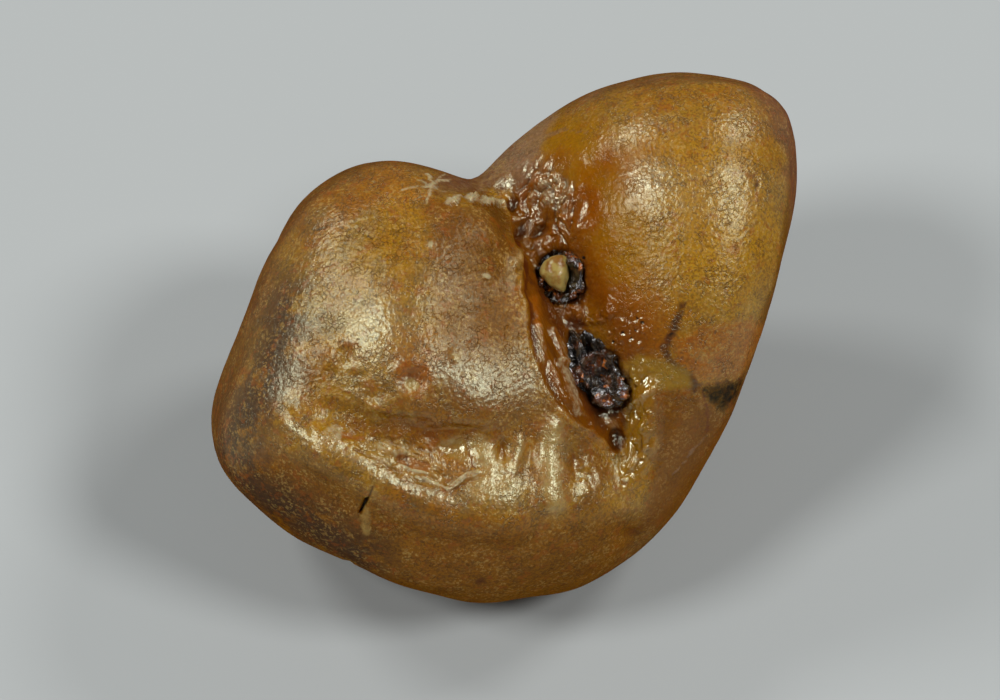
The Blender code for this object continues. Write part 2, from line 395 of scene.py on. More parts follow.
stone = {
    "voxel": 0.72,                  # spacing of the first mesh, its face is cut finer
    "detailedLines": (              # paths that get a finer mesh, and how far it reaches
        (((-1, 12), (3, 12), (5.5, 5), (8.5, -2), (9.8, -9.5)), 4),
        (((-13, -5.6), (-6, -7.8), (-1, -8.2), (5.5, -8.6)), 3.2),
        (((-12.5, -1), (-10.8, -0.8), (-6.4, -2.2)), 1.6),
        (((-7, 12.4), (-4, 12.2), (0, 11.2)), 1.3), (((-9.2, -9.9), (-10.2, -13)), 0.9),
        (((-1.2, 5.5), (-0.8, 5.5)), 0.8), (((-5.4, 7.8), (-5, 7.8)), 0.8),
    ),
    "finestLines": (
        (((3.2, 13.4), (3.4, 9.5), (4.6, 5.5)), 2.3),
        (((4.6, 5.5), (7.5, -1.5), (10.2, -4.5), (10.2, -9.5)), 2.2),
        (((-12.6, -6.2), (-6, -8.4), (-3.6, -8.8)), 1.5), (((-9.3, -10.1), (-10.2, -12.1)), 0.4),
    ),
    "cleftLine": [(0.5, 12), (4.5, 6), (7.5, -2), (9.5, -9)],
    "valleyLine": [(-13, -5.6), (-6, -7.8), (5.5, -8.6)],
    "skinRounds": 22,               # rounds of smoothing away from the cleft, and on the two domes
    "domeRounds": 240,
    "waves": ((2.4, 0.018), (1.1, 0.010)),
    "scatter": 0.30,                # how much light goes into the stone, and how far in metres
    "scatterReach": 0.0030,
    "scatterWays": (1.0, 0.38, 0.10),
    "satin": 0.31,                  # roughness of the worn skin, and of the wet-looking cleft
    "slick": 0.11,
    "glossShare": (0.092, 0.060),   # how much light each of the two throws back, and in which tint
    "glossTints": ((0.92, 1.0, 0.72, 1.0), (0.96, 0.97, 0.72, 1.0)),
    "sheenShare": 0.075,            # what the brightest ridges throw back on top of that
    "dullLoss": 0.85,               # what dull places and the flanks lose of it
    "flankLoss": 0.75,
    "grainDepth": 0.058,
    "crescentDepth": 0.020,
    "crackDepth": 0.045,
    "tones": {                      # as a screen shows them, 0 to 255
        "skin": (156, 98, 10), "skinPale": (166, 118, 16), "russet": (134, 80, 22), "olive": (120, 94, 40),
        "orange": (156, 88, 26), "straw": (182, 132, 24), "brown": (122, 74, 18), "pink": (160, 108, 54),
        "flank": (92, 46, 0), "back": (96, 60, 32), "backRust": (132, 78, 26), "umber": (140, 84, 4),
        "honey": (182, 118, 30), "amber": (146, 76, 0), "amberPale": (156, 104, 4), "haze": (124, 72, 10),
        "wall": (122, 64, 4), "wallDark": (86, 42, 10), "wallPale": (170, 128, 70), "ember": (168, 92, 14),
        "ginger": (166, 94, 18), "bruise": (62, 38, 28), "bruisePale": (146, 118, 46),
        "mauve": (146, 112, 82), "plum": (116, 62, 44), "dust": (190, 150, 78), "speck": (84, 50, 16),
        "stain": (104, 60, 22), "freckle": (150, 74, 14), "line": (76, 44, 14), "paleSpeck": (176, 146, 80),
    },
    "smallMarks": (                 # layer, where it starts and is full, how ragged, how strong, tone
        ("rust", 0.1, 1.0, 1.4, 0.75, (122, 60, 4)), ("red", 0.25, 0.75, 0.5, 0.7, (104, 46, 18)),
        ("dusk", 0.1, 0.9, 1.0, 0.8, (84, 36, 12)), ("blotch", 0.1, 0.9, 1.4, 0.75, (58, 40, 26)),
        # ochre: pale crusts and flakes, partly painted highlight on bright bumps and ridges
        ("sulphur", 0.1, 0.9, 0.5, 0.85, (150, 112, 30)), ("ochre", 0.1, 0.9, 1.2, 0.8, (172, 140, 76)),
        ("gold", 0.1, 0.9, 0.7, 0.75, (146, 102, 18)), ("brick", 0.1, 0.6, 0.2, 0.75, (146, 84, 30)),
        # chalk: pale cracks and crusts, and in places painted highlight on glinting lumps
        ("pit", 0.2, 0.9, 0.8, 0.9, (52, 24, 8)), ("chalk", 0.2, 0.9, 1.7, 0.8, (186, 168, 128)),
        # painted shade in the creases of the lumps, then the dark seams
        ("crease", 0.1, 0.9, 0.0, 0.6, (76, 34, 4)), ("seam", 0.25, 0.75, 0.5, 0.8, (60, 32, 12)),
        ("black", 0.2, 0.9, 0.8, 1.0, (18, 13, 10)),
    ),
}

# slow swells of the face: low relief that sets where the light lies
swells = [
    streak([(-6, 4), (-5.4, -1.5)], 6.2, soft=1.5, depth=-0.35),
    oval(-7.6, 2.8, 5.6, 6, soft=1.5, depth=-0.5),
    streak([(-12.6, -7.4), (-9.2, -9.6), (-6.6, -11), (-3.7, -12.1), (0.5, -12.6)], 2.6, soft=1.4,
        depth=-0.85),
    oval(-14.6, -6.2, 4.2, 2.8, turn=-27, soft=1.5, depth=-0.4),
    streak([(-12.2, -4.9), (-8.6, -5.9), (-4.6, -6.6), (-2, -6.4)], 1.6, depth=0.3),
    streak([(-9.2, -4.5), (-7.5, -3.8), (-5.6, -4.1)], 1, depth=-0.14),
    oval(-2.6, 8.6, 5.4, 4.2, soft=1.5, depth=-0.55),
    oval(-1.6, -4.6, 4.6, 3, soft=1.5, depth=-0.45),
    oval(-13.6, 10.6, 4.4, 3.6, turn=45, soft=1.5, depth=-0.35),
]

# the worn edge of the left lobe along the cleft
lip = [
    (0.4, 11.4), (0.9, 8.9), (1.4, 7.3), (1.8, 6), (1.6, 4.4), (2, 3.3), (2.1, 1.5), (2.3, -0.1),
    (3.3, -2.6), (4.1, -4.1), (5.9, -5.5), (7.5, -6.7), (8.5, -7.9),
]
lipFoot = [(x + 0.45, y + 0.05) for x, y in lip[:-2]]

# the outlines of the two pits
upperPit = [(3, 7), (4.2, 7.6), (5.4, 7.4), (6.4, 6.3), (6.6, 4.5), (6, 3.4), (4.9, 3.2),
    (3.9, 3.8), (3, 5), (2.7, 6)]
lowerPit = [(5, 1.4), (6, 1.4), (7, 0.5), (8.6, 0), (9, -1.1), (9.9, -2.2), (9.8, -3.9),
    (8.8, -5.1), (7.4, -5.2), (6.5, -4), (5.6, -2.7), (5.1, -0.9)]

cleftMarks = [
    patch(lip + [(9.3, -7.4), (9.5, -5.2), (8.8, -2.8), (8, -0.6), (6.6, 1.8), (6.4, 4.2), (6, 7),
        (4.8, 9.5), (3.5, 12.5), (2, 13.2)], wall=1, streaky=1),
    patch([(3, 12.5), (6, 10.2), (7.2, 7.5), (8.5, 5), (10.5, 3), (11.5, 0.5), (11, -1.5), (9, -3),
        (7.5, 0), (6, 3), (5, 7), (4, 10)], soft=4, wall=0.9),
    patch([(2.6, 17), (7, 17.5), (10.2, 14.9), (10.1, 11.1), (9.4, 7.4), (11, 4.5), (13, 2.5), (12, 0),
        (9, -2.5), (5, 1), (3, 8)], soft=6.5, amber=1),
    streak(lipFoot, 0.65, depth=0.26),
    streak(lipFoot[1:8], 0.3, soft=1.3, dusk=0.85),
    streak(lip, 0.45, depth=-0.14),
    streak(lip[1:7], 0.45, soft=1.5, seam=0.35),
    # the crumpled top, where the lobes first part
    patch([(0.6, 11.6), (1.2, 13.2), (2.6, 14.4), (4, 14), (5.2, 12.6), (6.3, 11), (6, 9.2), (5.2, 7.9),
        (4, 6.9), (2.6, 6.6), (1.6, 8.1), (1, 9.6)], soft=2.6, folds=(1.05, 1.5), drawn=(55, 1.5), wall=0.8,
        ember=0.35, slickness=1, sheen=1, crumple=1),
    # the chalk on these top lumps and on the raised spot below is painted highlight for the wet glints
    patch([(2, 12.6), (3.6, 14), (5.4, 12.4), (5.6, 10.6), (4, 10.2), (2.4, 11)], soft=1.5,
        folds=(0.4, 0.55), drawn=(80, 1.8), chalk=0.45, sheen=1),
    oval(0.9, 11.2, 0.8, 0.7, turn=30, depth=0.3, dusk=0.9),
    oval(1.6, 9, 0.6, 0.9, turn=-20, depth=0.3, dusk=0.9),
    oval(3, 9, 0.9, 0.6, turn=20, depth=0.25, dusk=0.8),
    patch([(2.2, 13.6), (3.6, 14.4), (4.6, 13.1), (5.6, 11.6), (5.3, 10.6), (4.2, 10.6), (3, 11.1),
        (2.2, 11.9)], soft=1.8, chalk=0.15),
    oval(1.3, 10, 0.75, 0.35, turn=-5, depth=-0.3, chalk=0.5),
    patch([(4.2, 7), (6.2, 7.2), (7.6, 5.6), (7.4, 3.8), (6.2, 3.4), (6.1, 5.5)], soft=1.2,
        folds=(0.16, 0.55), rust=0.35, slickness=0.8),
    # the step under the upper pit, and the lumps right of the lower one
    streak([(4.7, 3.4), (5.6, 2.7), (6.6, 2.4), (7.6, 2.5), (8.2, 3.1)], 0.75, depth=-0.22,
        folds=(0.45, 0.6), slickness=1, crumple=0.6),
    patch([(6.4, 2.6), (8, 3), (10, 2.9), (11.6, 1.2), (11.4, -1), (9.6, -1.4), (8.6, -0.2), (7.3, 1)],
        soft=1.4, folds=(0.24, 0.42), slickness=0.8),
    oval(5.6, 2, 1.3, 0.8, depth=0.15, dusk=0.9),
    # the gold ridge; the chalk on it lies where its glints are, partly painted highlight
    patch([(9.4, -1.4), (10.9, -1.2), (11.7, -2.4), (11.4, -3.8), (11.1, -5), (11.5, -6.4), (11.3, -7.8),
        (10.5, -9.3), (9.4, -10), (9, -9.2), (9.6, -7.8), (9.5, -6), (9.6, -4.2), (9.1, -2.8)], soft=1.8,
        depth=-0.2, folds=(0.75, 1), drawn=(72, 2), gold=1, slickness=1, sheen=0.8),
    streak([(9.8, -4.2), (10.5, -3.7), (11.2, -3)], 0.42, soft=1.5, depth=-0.2, folds=(0.2, 0.4),
        chalk=0.55, sheen=1),
    oval(10.75, -5.9, 0.42, 0.55, depth=-0.2, sulphur=1),
    streak([(9.7, -8.9), (10.4, -8), (10.9, -7.2)], 0.26, depth=-0.2, chalk=0.45),
    oval(9.3, -9.7, 0.42, 0.32, depth=-0.28, chalk=0.7),
    # folds on the wall under the lip
    # the pale ochre on this bulge of the lip is partly painted highlight
    oval(1.25, 6.8, 0.7, 1.35, turn=-15, soft=1.3, depth=-0.34, sheen=1, ochre=0.45),
    oval(1.9, 3.5, 0.45, 0.4, depth=-0.15),
    streak([(2.8, 1.9), (2.9, 0.4), (3.2, -0.9)], 0.42, depth=-0.24, sheen=1, ochre=0.35),
    streak([(3.9, 1.5), (4.5, 0.1), (4.9, -0.9)], 0.36, depth=-0.28, sheen=1, chalk=0.35),
    streak([(2.6, 3.9), (2.7, 2.9), (2.8, 1.9)], 0.55, soft=1.5, ember=0.9),
    streak([(5.2, 0), (5.4, -2.2), (6.6, -4.4), (7.8, -5.8)], 0.8, soft=1.5, dusk=0.7),
    patch([(3.2, 6.4), (4.6, 2.8), (5.2, 1.2), (4.4, 0.6), (3.2, 3.4), (2.5, 5.2)], soft=0.8,
        folds=(0.22, 0.6), dusk=0.65),
    streak([(3.4, 4.6), (3.8, 3.4), (4, 2.4)], 0.3, depth=-0.1, chalk=0.25),
    streak([(4.5, -0.9), (5, -2.1), (5.4, -3.3), (5.9, -4.6)], 0.5, depth=-0.2, chalk=0.5, sheen=0.4),
    streak([(3.4, -1.8), (4.5, -3.5), (5.8, -4.8)], 0.3, depth=0.14),
    streak([(2.6, 3.4), (3, 1.4), (3.5, -0.6), (4.4, -2.4)], 0.26, depth=-0.12, chalk=0.22),
    oval(8.8, 7.2, 4.4, 7, dull=1),
    oval(7.4, 11.2, 3.6, 6.4, turn=-10, dull=1),
    streak([(6.5, 14.6), (14, 15), (20.5, 14.6)], 1.9, soft=1.5, dull=0.75),
    streak([(9, 7.6), (14, 7), (20.5, 7.4)], 4.2, soft=1.5, dull=0.75),
    oval(4.6, 16.4, 3.6, 3, soft=1.4, dull=0.8),
    oval(10.6, 16.8, 2.6, 2.2, soft=1.5, sheen=0.4),
    oval(18.2, 17.2, 2.6, 2.2, soft=1.5, sheen=0.4),
    oval(12, 12.9, 3, 2.6, soft=1.5, sheen=0.5),
    streak([(2.3, -0.1), (3.3, -2.6), (4.1, -4.1), (5.9, -5.5), (8, -7.3)], 0.24, depth=-0.12),
    streak([(4.9, -3.6), (6.2, -5.2), (7.8, -7)], 0.22, depth=-0.1),
    streak([(4.4, -4.6), (5.8, -6.1), (7.2, -7.3)], 0.22, depth=-0.08),
    patch([(8.2, -5.9), (8.8, -5.7), (9.4, -6.5), (9.1, -7.6), (8.4, -7.4)], soft=0.9, depth=0.3,
        folds=(0.2, 0.5), black=0.55, dusk=0.8, slickness=1),
    # the stain round both pits, and their dark bottoms
    patch(upperPit, soft=2.6, dusk=0.75),
    patch(lowerPit, soft=2.6, dusk=0.75),
    patch(upperPit, soft=0.7, pit=0.9, slickness=1),
    patch(lowerPit, soft=0.7, pit=0.85, slickness=1),
]

# small wet-looking drops: place, radius and height
drops = [
    (3.3, 12.7, 0.34, 0.22), (2.3, 11.5, 0.28, 0.2), (3.4, 11.2, 0.36, 0.24), (4.2, 11.4, 0.3, 0.2),
    (5.4, 11.2, 0.26, 0.16), (2.1, 10.1, 0.24, 0.16), (4.4, 10, 0.3, 0.2), (5.1, 9.8, 0.22, 0.15),
    (2.9, 9.6, 0.3, 0.22), (4, 8.8, 0.26, 0.18), (2.9, 8.3, 0.22, 0.18), (3.7, 7.7, 0.24, 0.18),
    (2.6, 7.3, 0.24, 0.16), (6.1, 6.2, 0.26, 0.18), (5.2, 3.1, 0.28, 0.2), (6, 2.4, 0.3, 0.2),
    (6.8, 2.2, 0.24, 0.16), (7.5, 2.6, 0.26, 0.18), (8.1, 3, 0.2, 0.14), (8.1, 3.8, 0.2, 0.14),
    (10.2, 1.9, 0.22, 0.14), (10.7, 1.4, 0.26, 0.16), (10.5, 0.3, 0.24, 0.16), (9, 0.8, 0.22, 0.14),
    (10.7, -0.9, 0.28, 0.18), (11.2, -1.4, 0.22, 0.14), (9.8, -0.2, 0.24, 0.16), (12.4, 3.4, 0.2, 0.12),
    (9.4, -4.4, 0.24, 0.2), (9.6, -5.2, 0.26, 0.2), (10.2, -2.4, 0.28, 0.22), (11.1, -4.6, 0.24, 0.2),
    (10.2, -6.8, 0.28, 0.22), (10.8, -7.9, 0.24, 0.18), (3.2, 5, 0.2, 0.12), (12.6, 0.2, 0.16, 0.1),
    (5.2, -7.9, 0.3, 0.16), (6, -9.7, 0.3, 0.16), (6.5, -10.6, 0.26, 0.14), (7, -8.2, 0.18, 0.1),
]
darkDots = [
    (6.2, 6.9), (10.2, 2.3), (10.6, 2.1), (10.1, 1.4), (9.1, 1.3), (8.4, 0.6), (13.1, 1.7), (12.8, 1.1),
    (9.7, 0.9),
]

rightMarks = [
    oval(14.5, 9.5, 14.5, 16, soft=1.2, straw=1),
    patch([(-2.2, 11.8), (-0.5, 15), (1.5, 17.5), (3.6, 20), (5.6, 20.4), (4.2, 17.6), (3.2, 15.4),
        (2.2, 12.9), (0.6, 12.3)], soft=1.4, mauve=0.9),
    patch([(3, 19.5), (9, 21.5), (19, 21.5), (19, 20.2), (9.5, 19.6), (5, 17.8)], soft=1.8, mauve=0.35),
    patch([(18.3, 20.5), (21.5, 21), (25, 16.7), (25, 11.1), (22.4, 6.5), (21.6, 12), (21, 15.1),
        (20.2, 17.3)], soft=1.8, plum=0.9),
    patch([(9.2, -1), (10.4, -0.4), (11.9, -0.7), (14.2, -1.6), (14.3, -2.7), (12.7, -2.9), (11, -2.8),
        (9.7, -2.4)], soft=1.1, sulphur=1),
    patch([(12.8, 0.8), (13.2, -1), (14.6, -2.4), (18, -2.1), (21, 1.6), (18, 2.4), (15, 1.6)], soft=1.6,
        ginger=1),
    oval(15, -0.4, 1.6, 0.8, turn=-10, ochre=0.35),
    oval(13.9, 2.6, 0.5, 0.45, honey=1),
    patch([(14.8, -2.9), (16.4, -2.5), (18.8, -2), (18.2, -3.7), (16.9, -4.9), (16, -4.4)], soft=1.2,
        depth=0.08, black=0.72, dull=0.9),
    oval(17, -3.2, 0.7, 0.45, turn=15, rust=0.6),
    streak([(13.5, 3.3), (13.1, 2.2), (12.7, 1.2), (12.2, 0.3), (12.5, -0.7), (13.3, -1.6), (14.3, -2),
        (14.6, -2.9)], 0.58, soft=1.5, depth=0.05, dusk=0.95, blotch=0.4),
    oval(13.1, 1.7, 0.75, 1.3, turn=15, soft=1.5, blotch=0.6, plum=0.7),
    streak([(14.3, -2.6), (15.8, -2.6), (18.2, -2.2)], 0.3, red=0.6),
    streak([(15.2, -3.2), (15.6, -4.6), (15.7, -6.1)], 0.26, depth=0.04, red=0.7),
    oval(15, -4.2, 0.35, 0.9, turn=12, ochre=0.3),
    streak([(15.7, -6.3), (15.2, -6.9), (14.5, -7.6), (13.9, -8.5), (13, -9.4)], 0.2, depth=-0.03,
        mauve=0.75),
    streak([(10.8, -2.9), (12.7, -3.2), (14.9, -2.9)], 0.55, umber=0.8),
    patch([(10.8, -3.1), (14.9, -3.1), (16.9, -4.9), (19, -6.1), (18, -9.1), (16.4, -11.4), (13.8, -14.3),
        (10.6, -13.7), (11.3, -9.8), (11.8, -6.7)], soft=2.2, haze=1, dull=0.5),
    streak([(11.4, 16.9), (11.9, 16.5), (12.1, 16.1)], 0.28, depth=0.06, dusk=0.6),
    streak([(18.8, 13), (19.2, 12.5), (19.1, 11.9)], 0.3, depth=0.08, dusk=0.6),
    streak([(8.3, 13), (8.9, 12.4), (9.8, 11.9)], 0.12, depth=0.03, dusk=0.35),
    streak([(3.6, 16.4), (4.9, 16.8), (6.4, 16.4)], 0.25, depth=0.04, mauve=0.6),
    patch([(7, 5), (9, 5.6), (10.8, 4), (10.2, 2.6), (8, 3.2), (7, 4.2)], soft=1.4, ember=0.25),
]

leftMarks = [
    oval(-8, 12, 7.5, 4.5, soft=1.4, honey=0.45),
    patch([(-5.5, 11), (0.5, 10.5), (1.6, 6), (2, 0), (4.5, -4.5), (0, -6), (-4, -4),
        (-4.6, 3)], soft=4, brown=1),
    oval(-1.4, 6.6, 5.2, 6.4, soft=1.3, dull=1),
    oval(-0.2, 2.4, 4.2, 5, soft=1.2, dull=1),
    oval(-9, 1.8, 4.2, 3, turn=-20, soft=1.5, sheen=0.7),
    oval(-2.4, -2.2, 3.8, 2, turn=-30, soft=1.5, sheen=0.6),
    oval(-12.6, 9.2, 3.2, 2.6, turn=40, soft=1.5, sheen=0.25),
    oval(-8.4, 8, 5.6, 4.6, soft=1.4, dull=0.85),
    oval(-3.4, 2.4, 3.4, 5, soft=1.4, dull=0.8),
    oval(-13.2, -1.6, 2.6, 5, turn=-12, soft=1.4, dull=0.6),
    oval(0.4, 3.6, 2.6, 2.6, soft=1.5, ember=0.35),
    oval(-1.5, 0.5, 3.6, 3.6, soft=1.5, pink=0.6),
    oval(-6.4, 7.6, 3, 2.4, soft=1.5, ember=0.22),
    # the edge of the lobe, bruised dark in soft clouds; the streak's lower end, on the lower left of the
    # roll, is painted shade
    streak([(-15.4, 3.4), (-16.6, -0.6), (-18.2, -3.8), (-19.8, -7.4), (-18.4, -10.4), (-14.6, -12.8),
        (-10.5, -15.5)], 4.2, soft=1.5, bruise=1),
    # the round pit with two pale teeth, and the smaller pits
    oval(-6.4, -2, 2.2, 2, soft=1.4, ember=1.2),
    oval(-6.4, -2.2, 1.35, 1.2, soft=1.3, rust=0.5),
    oval(-6.4, -2.2, 1.25, 1.15, soft=1.2, depth=0.46, rim=0.1, rust=0.8),
    oval(-6.4, -2.6, 0.8, 0.6, folds=(0.12, 0.4), ochre=1),
    streak([(-6.8, -2), (-6.95, -2.5), (-6.7, -2.9)], 0.26, depth=-0.18, chalk=0.35),
    streak([(-5.9, -1.9), (-6.05, -2.4), (-6.2, -2.8)], 0.24, depth=-0.16, chalk=0.3),
    oval(-11.3, -0.3, 0.7, 1, turn=-15, soft=1.4, depth=0.3, rust=0.5),
    oval(-11.1, -0.5, 0.25, 0.4, depth=-0.18, chalk=0.45),
    oval(-12.4, -1.6, 0.65, 0.5, soft=1.4, depth=0.24, rust=0.5),
    oval(-10.4, -1.9, 0.8, 0.45, turn=-20, soft=1.4, depth=0.14, rust=0.4),
    oval(-11.1, 0.5, 1.9, 1.1, turn=-20, soft=1.5, ember=0.9),
    oval(-12, 1.1, 0.45, 0.4, depth=-0.12, chalk=0.4),
    oval(-3.3, -0.5, 0.6, 0.8, turn=20, soft=1.3, depth=-0.12, rim=-0.06, ochre=0.8),
    oval(-1, 5.5, 0.48, 0.36, turn=-10, soft=1.3, depth=-0.1, chalk=1.5),
    oval(-5.2, 7.8, 0.42, 0.46, soft=1.4, depth=-0.08, chalk=1.2),
    streak([(-11, -3), (-9.6, -3.9), (-8.6, -4.4)], 0.28, depth=-0.14),
    streak([(-14.8, 8.8), (-14, 9.1), (-12.3, 9.2), (-10.8, 8.9), (-9.5, 8.3)], 0.14, depth=0.08,
        seam=0.7),
    streak([(-14.9, 8.8), (-15.3, 8.2)], 0.14, depth=0.06, seam=0.5),
    # the star of pale cracks at the top edge, its orange spot, and the crust along the notch
    streak([(-5.5, 13.2), (-5.1, 12.6), (-5.2, 11.8), (-5.5, 10.9)], 0.26, soft=1.5, depth=-0.1,
        folds=(0.2, 0.3), chalk=0.8),
    streak([(-5.1, 12.4), (-4.5, 12.8), (-3.8, 12.8)], 0.24, soft=1.5, depth=-0.08, folds=(0.1, 0.3),
        chalk=0.7),
    streak([(-7.3, 12), (-6.2, 12.2), (-5.1, 12.2)], 0.24, soft=1.5, depth=-0.06, folds=(0.1, 0.3),
        chalk=0.65),
    streak([(-6.3, 12.9), (-5.7, 12.6), (-5, 12.2)], 0.18, soft=1.5, chalk=0.7),
    streak([(-4.2, 13.4), (-4.6, 13), (-5, 12.5)], 0.18, soft=1.5, chalk=0.6),
    streak([(-4.9, 12.2), (-4.5, 11.9), (-3.9, 11.9)], 0.16, soft=1.5, chalk=0.6),
    streak([(-5.2, 12), (-5.8, 11.5), (-6.4, 11.2)], 0.16, soft=1.5, chalk=0.5),
    oval(-5, 12.2, 0.6, 0.6, soft=1.5, folds=(0.2, 0.35), chalk=0.6),
    oval(-6, 11.5, 1.4, 0.6, turn=-5, soft=1.3, honey=1),
    patch([(-6, 12.6), (-4, 13.9), (-1.2, 13.6), (1.4, 13.2), (1.6, 12), (-1.5, 11.9),
        (-4.6, 11.4)], soft=1.6, mauve=0.5, dusk=0.55, slickness=0.5),
    patch([(-4.9, 11.1), (-3.9, 11.4), (-2.9, 12), (-1.5, 11.7), (0.4, 11.5), (0.4, 10.8),
        (-1.3, 10.6), (-2.4, 10.9), (-4.4, 10.5)], soft=0.9, depth=-0.1, folds=(0.3, 0.4), dusk=0.5,
        slickness=0.6),
    oval(-3.5, 11.1, 1.05, 0.5, turn=12, soft=1.3, depth=-0.24, folds=(0.5, 0.4), chalk=1, sheen=0.6),
    oval(-2.2, 11.3, 0.9, 0.55, turn=-8, soft=1.3, depth=-0.24, folds=(0.5, 0.4), chalk=0.9, sheen=0.6),
    oval(-1, 11.15, 1.1, 0.55, turn=4, soft=1.3, depth=-0.26, folds=(0.5, 0.4), chalk=1, sheen=0.8),
    oval(0.1, 11.1, 0.75, 0.5, turn=-12, soft=1.3, depth=-0.24, folds=(0.5, 0.4), chalk=0.9, sheen=0.8),
]

valleyMarks = [
    patch([(-12.2, -5.2), (-10.6, -4.6), (-7, -4.7), (-4, -4.9), (-0.8, -5.2), (0.4, -6.2), (-1.8, -6.7),
        (-4.3, -6.9), (-8.8, -6.9), (-11.8, -6.5)], soft=2.4, folds=(0.2, 0.7), drawn=(-6, 2.8), rust=0.65,
        slickness=0.3),
    # the bank's upper slope: pale ochre here is partly painted highlight where the light lies
    streak([(-15, -5.6), (-12, -7.1), (-9.9, -8.2), (-7.8, -9.3), (-5.2, -10.6), (-2.6, -11.3)], 1,
        soft=1.5, sheen=1, ochre=0.22),
    streak([(-11.5, -6.2), (-10.9, -6.4), (-10.1, -6.5)], 0.34, soft=1.5, depth=0.05, brick=0.8),
    # thin flakes with curled edges
    patch([(-10.6, -6.9), (-9, -6.6), (-7.2, -6.8), (-5.9, -7.2), (-4.3, -7.9), (-4.2, -8.9), (-3.7, -10.2),
        (-5.5, -9.9), (-7.4, -9.2), (-9.5, -8.1)], soft=0.9, depth=0.16, folds=(0.62, 0.7),
        drawn=(-28, 2.6), ochre=0.45, rust=0.35, slickness=0.4),
    patch([(-9, -6.7), (-7.1, -6.7), (-6.7, -7.5), (-7.6, -7.8), (-8.9, -7.4)], soft=0.35, depth=-0.18,
        chalk=0.5),
    patch([(-5.9, -7.1), (-4.6, -7.7), (-4.3, -8.8), (-5, -8.9), (-5.6, -8)], soft=0.35, depth=-0.18,
        chalk=0.45),
    patch([(-9.7, -7.8), (-8.2, -7.8), (-7.6, -8.6), (-8.8, -8.5)], soft=0.35, depth=-0.16, chalk=0.5),
    streak([(-10.6, -7.3), (-9.4, -7.6), (-8.2, -8.6), (-7.2, -8.9)], 0.16, depth=0.14, rust=0.7),
    streak([(-8, -6.7), (-7.5, -7.2), (-7.3, -7.9)], 0.15, depth=0.12, rust=0.8),
    streak([(-5.9, -7.3), (-5.2, -7.5), (-5, -8.2)], 0.22, depth=0.14, rust=0.9),
    oval(-5.2, -6.3, 0.9, 0.55, depth=0.12, rust=0.8),
    patch([(-13.1, -6), (-12.3, -5.4), (-11.4, -5.7), (-11.6, -6.7), (-12.8, -6.8)], depth=-0.06,
        folds=(0.22, 0.5), chalk=0.65, slickness=0.5),
    streak([(-7.2, -7.9), (-6.4, -8.2), (-5.5, -8.6)], 0.5, depth=0.06, brick=1),
    streak([(-7.4, -8.4), (-6.4, -8.7), (-5.4, -9.1)], 0.16, depth=-0.12, chalk=0.8),
    streak([(-6.1, -9.2), (-5, -9.6), (-3.7, -10.2)], 0.18, depth=-0.16, chalk=0.85),
    streak([(-3.5, -10), (-2.6, -9.3), (-1.7, -9)], 0.36, depth=-0.18, chalk=0.65),
    streak([(-3.4, -10.3), (-2.5, -9.8), (-1.6, -9.5)], 0.16, depth=0.1, rust=0.7),
    patch([(-4.4, -6.4), (-3.3, -6.2), (-2.4, -6.5), (-2.1, -7.5), (-2.3, -8.4), (-3.3, -8.3),
        (-4.2, -7.6)],
        soft=0.9, depth=-0.1, folds=(0.32, 0.6), drawn=(70, 1.8), ochre=0.5, slickness=0.6, sheen=0.8),
    # the smooth loop of bumps around a dark lens, and the upright ridge beside it; the pale ochre on the
    # bumps and the ridge, and the chalk on the glinting bump below them, are partly painted highlight
    streak([(-1.6, -6.9), (-1.1, -7.8), (-0.6, -8.6)], 1.5, soft=1.5, depth=-0.38, sheen=1, ochre=0.75),
    streak([(1.5, -7), (1.2, -7.9), (0.7, -8.7)], 1.05, soft=1.5, depth=-0.28, sheen=1, ochre=0.55),
    streak([(-1.4, -10.1), (-0.4, -10.4), (0.8, -10.2)], 2, soft=1.5, depth=-0.4, sheen=1, ochre=0.55),
    oval(0.15, -7.5, 0.6, 1.25, turn=-8, soft=1.4, depth=0.34, rust=0.85, slickness=0.7),
    oval(0.1, -7.8, 0.3, 0.7, turn=-8, soft=1.5, depth=-0.14, chalk=0.35),
    streak([(-2.5, -6.5), (-2.2, -7.6), (-1.9, -8.6)], 0.34, soft=1.5, depth=0.12, rust=0.9),
    oval(2.3, -7.4, 1.1, 2, soft=1.5, depth=0.12, honey=0.7),
    streak([(3.9, -5.9), (3.7, -7.4), (3.75, -9.2), (4, -11.1)], 1.5, soft=1.5, depth=-0.38,
        folds=(0.04, 0.4), sheen=1, ochre=0.75),
    oval(5.6, -8.3, 1, 1.7, soft=1.4, depth=0.36, rust=0.6, wall=0.5),
    oval(6.2, -10.1, 0.9, 1, soft=1.5, depth=-0.2, chalk=0.5, sheen=1),
    streak([(-16.4, -4.3), (-15.5, -5.2), (-14.5, -6)], 0.8, depth=-0.12, chalk=0.25),
    patch([(4.6, -5.4), (6.4, -6.2), (7.6, -7.6), (8.6, -9), (7, -12), (5.4, -12), (6.6, -9), (5.4, -6.8)],
        soft=1.6, brown=0.8, wall=0.35),
]

